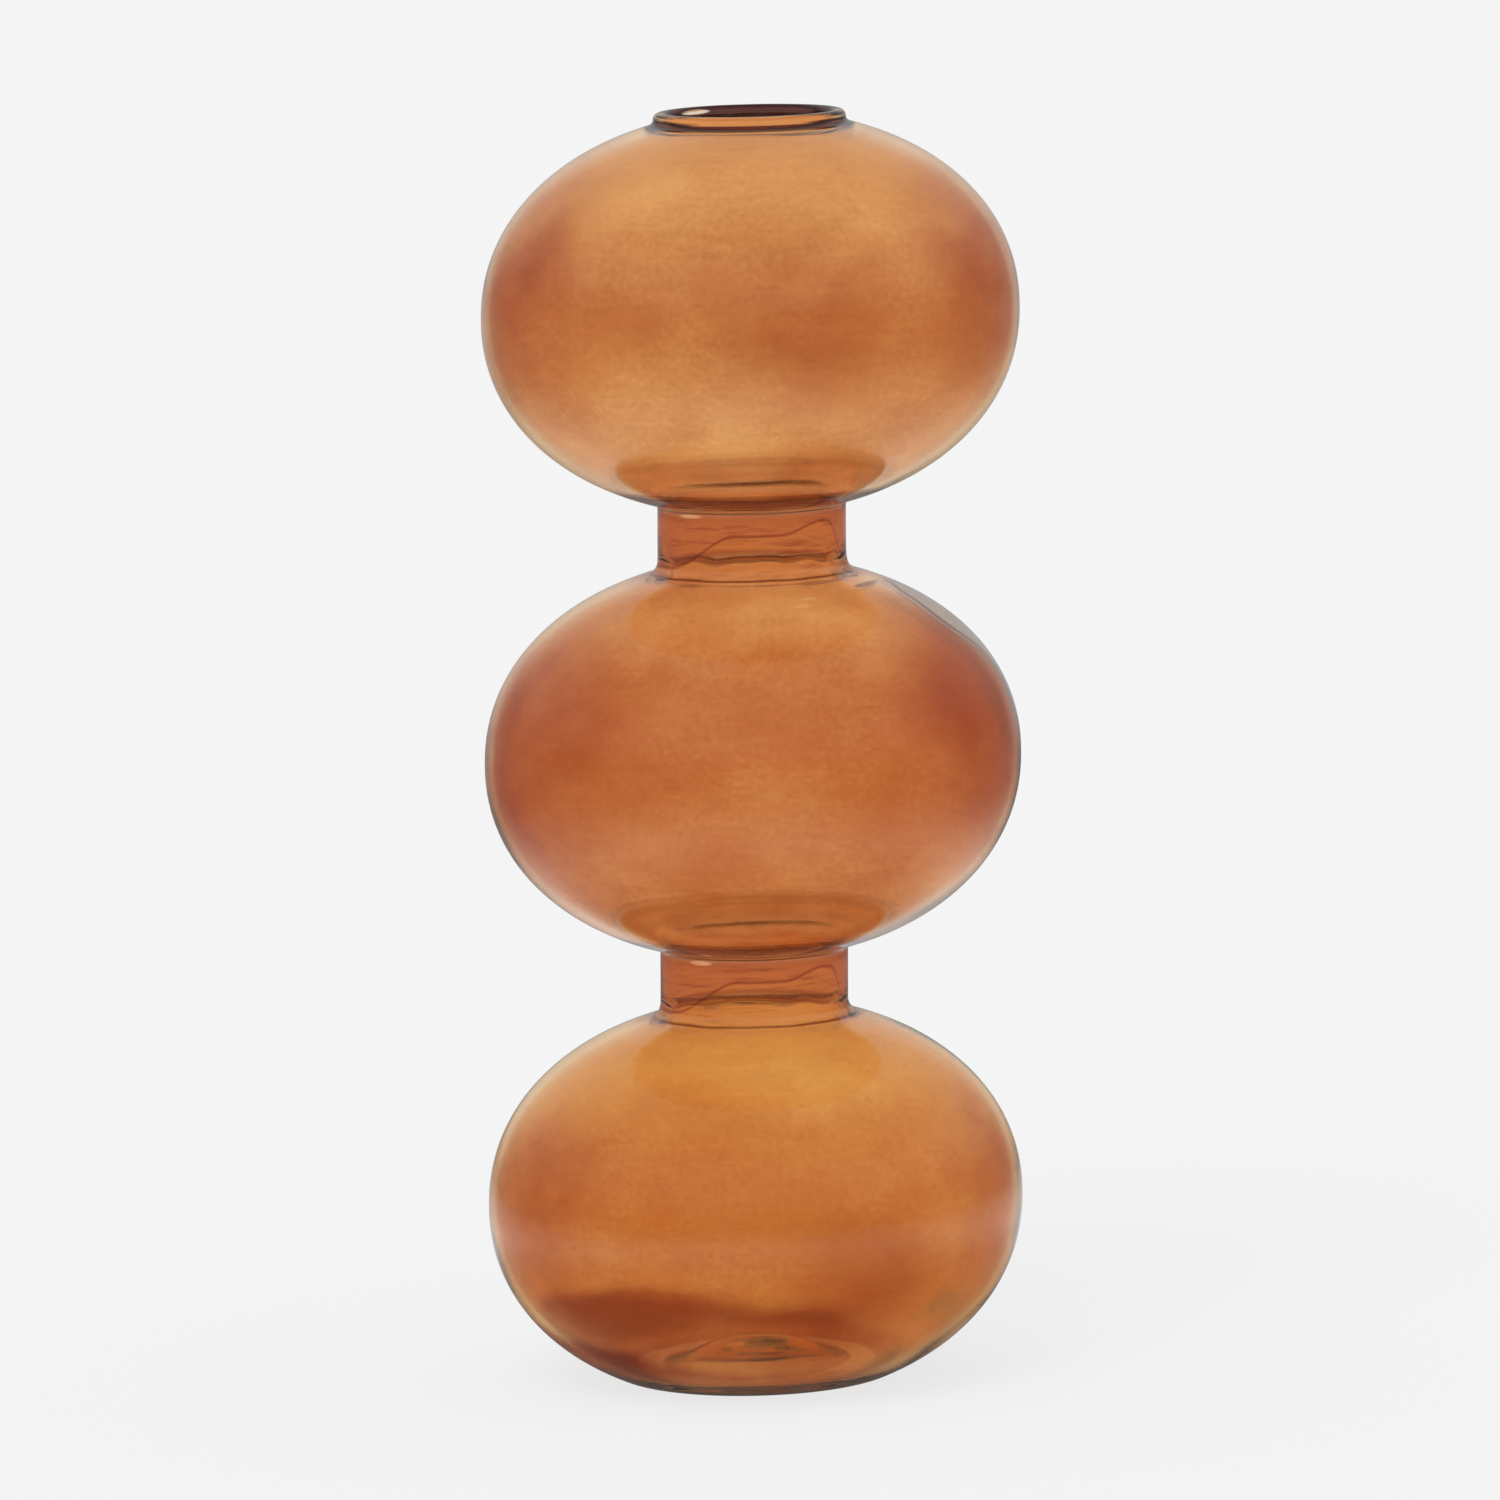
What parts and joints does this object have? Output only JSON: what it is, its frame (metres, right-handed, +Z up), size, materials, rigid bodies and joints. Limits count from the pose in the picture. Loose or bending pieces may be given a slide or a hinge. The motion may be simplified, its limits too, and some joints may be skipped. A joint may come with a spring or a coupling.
{
  "type": "glass vase",
  "caption": "Blown glass vase of stacked flattened bubbles joined by short necks, pale amber outside and deeper amber inside, with a small rolled mouth and a flat foot.",
  "frame": {"origin": "centre of the bottom of the bounding box, on the surface that the vase stands on", "axes": "+Z up towards the mouth, -Y towards the viewer of the picture, +X to the viewer's right, which is the way the axis of the bubbles leans"},
  "size_m": [0.1306, 0.1266, 0.3],
  "materials": {
    "pale_amber_glass": "pale amber polished glass, clear in places",
    "amber_glass": "golden amber glass",
    "red_amber_glass": "reddish amber glass",
    "fused_glass": "thick fused amber glass"
  },
  "bodies": {
    "root": {"mouth_rim": "amber_glass", "top_bubble_casing": "pale_amber_glass", "top_bubble_lining": "amber_glass", "upper_neck_top_seam": "fused_glass", "upper_neck_casing": "pale_amber_glass", "upper_neck_lining": "red_amber_glass", "upper_neck_bottom_seam": "fused_glass", "middle_bubble_casing": "pale_amber_glass", "middle_bubble_lining": "red_amber_glass", "lower_neck_top_seam": "fused_glass", "lower_neck_casing": "pale_amber_glass", "lower_neck_lining": "red_amber_glass", "lower_neck_bottom_seam": "fused_glass", "bottom_bubble_casing": "pale_amber_glass", "bottom_bubble_lining": "amber_glass", "base_seal": "pale_amber_glass"}
  },
  "joints": []
}
